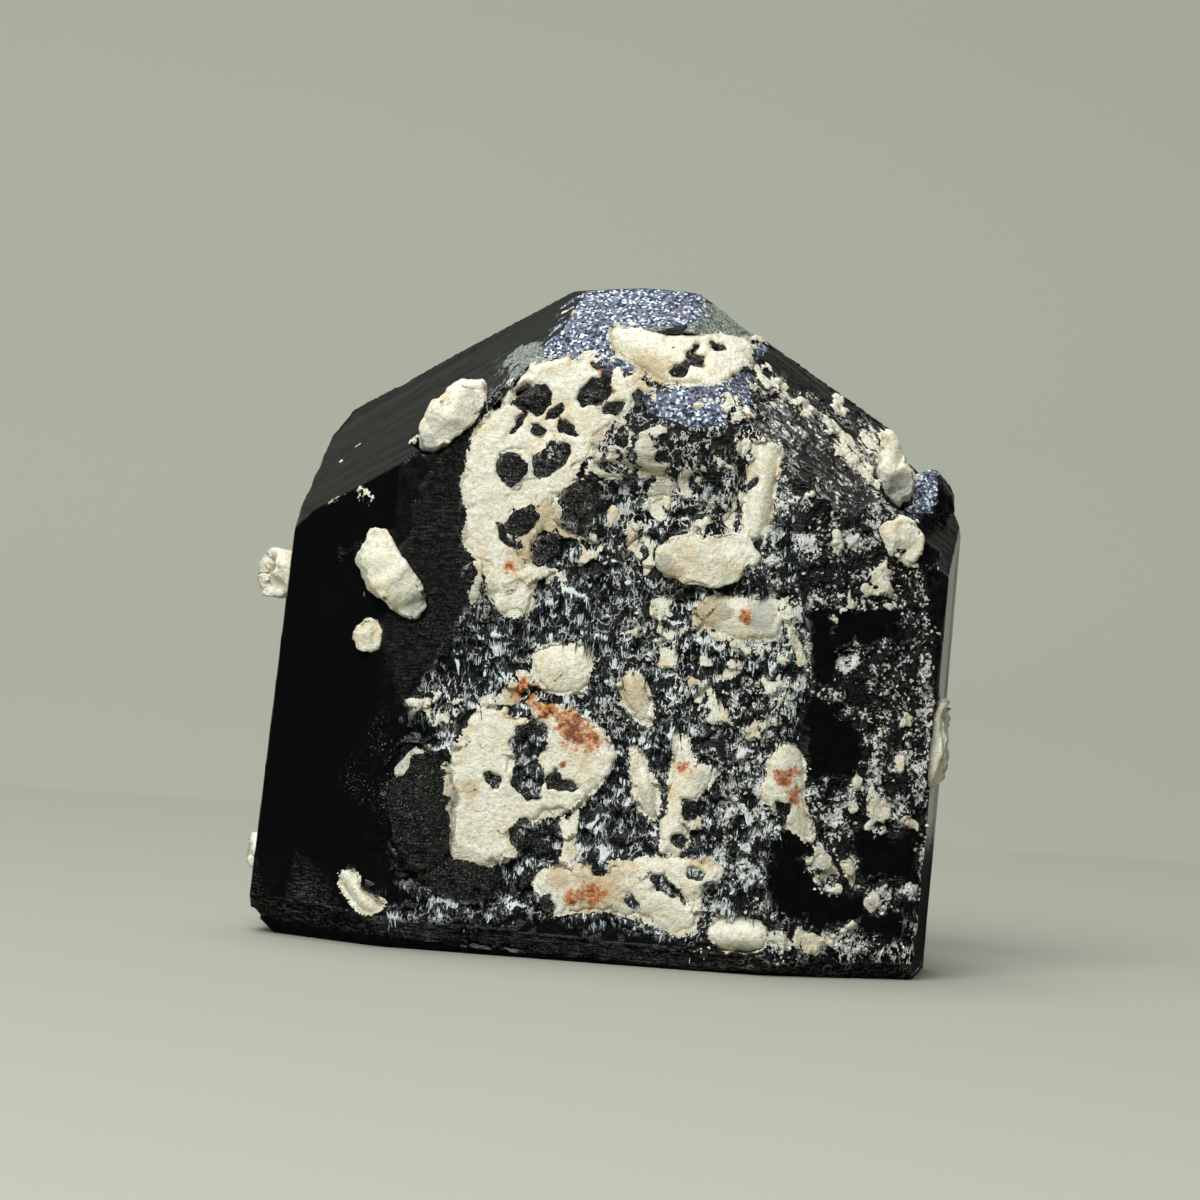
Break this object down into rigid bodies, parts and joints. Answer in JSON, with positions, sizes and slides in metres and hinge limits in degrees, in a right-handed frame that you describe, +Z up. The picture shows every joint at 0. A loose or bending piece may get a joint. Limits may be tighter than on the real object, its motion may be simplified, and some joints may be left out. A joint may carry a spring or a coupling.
{
  "type": "mineral specimen",
  "caption": "Stubby black schorl crystal with flat end faces and cream orthoclase grown into its etched front, standing on a flat broken base.",
  "frame": {"origin": "centre of the bounding box, on the level of the flat broken base", "axes": "+Z up along the crystal, +X to the right seen from the etched front, -Y toward the viewer of the front"},
  "size_m": [0.034, 0.025, 0.0323],
  "materials": {
    "schorl_black": "glassy black, mirror smooth on clean faces and dull where etched",
    "orthoclase_cream": "chalky cream with rust stains, fine grained"
  },
  "bodies": {
    "root": {"schorl_crystal": "schorl_black", "orthoclase_upper_mass": "orthoclase_cream", "orthoclase_crown_sheet": "orthoclase_cream", "orthoclase_upper_strip": "orthoclase_cream", "orthoclase_cream_patch": "orthoclase_cream", "orthoclase_centre_grain": "orthoclase_cream", "orthoclase_upper_blade": "orthoclase_cream", "orthoclase_middle_blade": "orthoclase_cream", "orthoclase_forked_blade": "orthoclase_cream", "orthoclase_rust_blade": "orthoclase_cream", "orthoclase_lower_mass": "orthoclase_cream", "orthoclase_base_band": "orthoclase_cream", "orthoclase_base_grain": "orthoclase_cream", "orthoclase_corner_grain": "orthoclase_cream", "orthoclase_shoulder_crystal": "orthoclase_cream", "orthoclase_left_crystal": "orthoclase_cream", "orthoclase_left_grain": "orthoclase_cream", "orthoclase_mid_crystal": "orthoclase_cream", "orthoclase_right_grain": "orthoclase_cream", "orthoclase_right_shoulder": "orthoclase_cream", "orthoclase_left_edge_grain": "orthoclase_cream", "orthoclase_left_low_grain": "orthoclase_cream", "orthoclase_right_edge_grain": "orthoclase_cream", "orthoclase_back_crystal": "orthoclase_cream", "orthoclase_back_grain": "orthoclase_cream"}
  },
  "joints": []
}
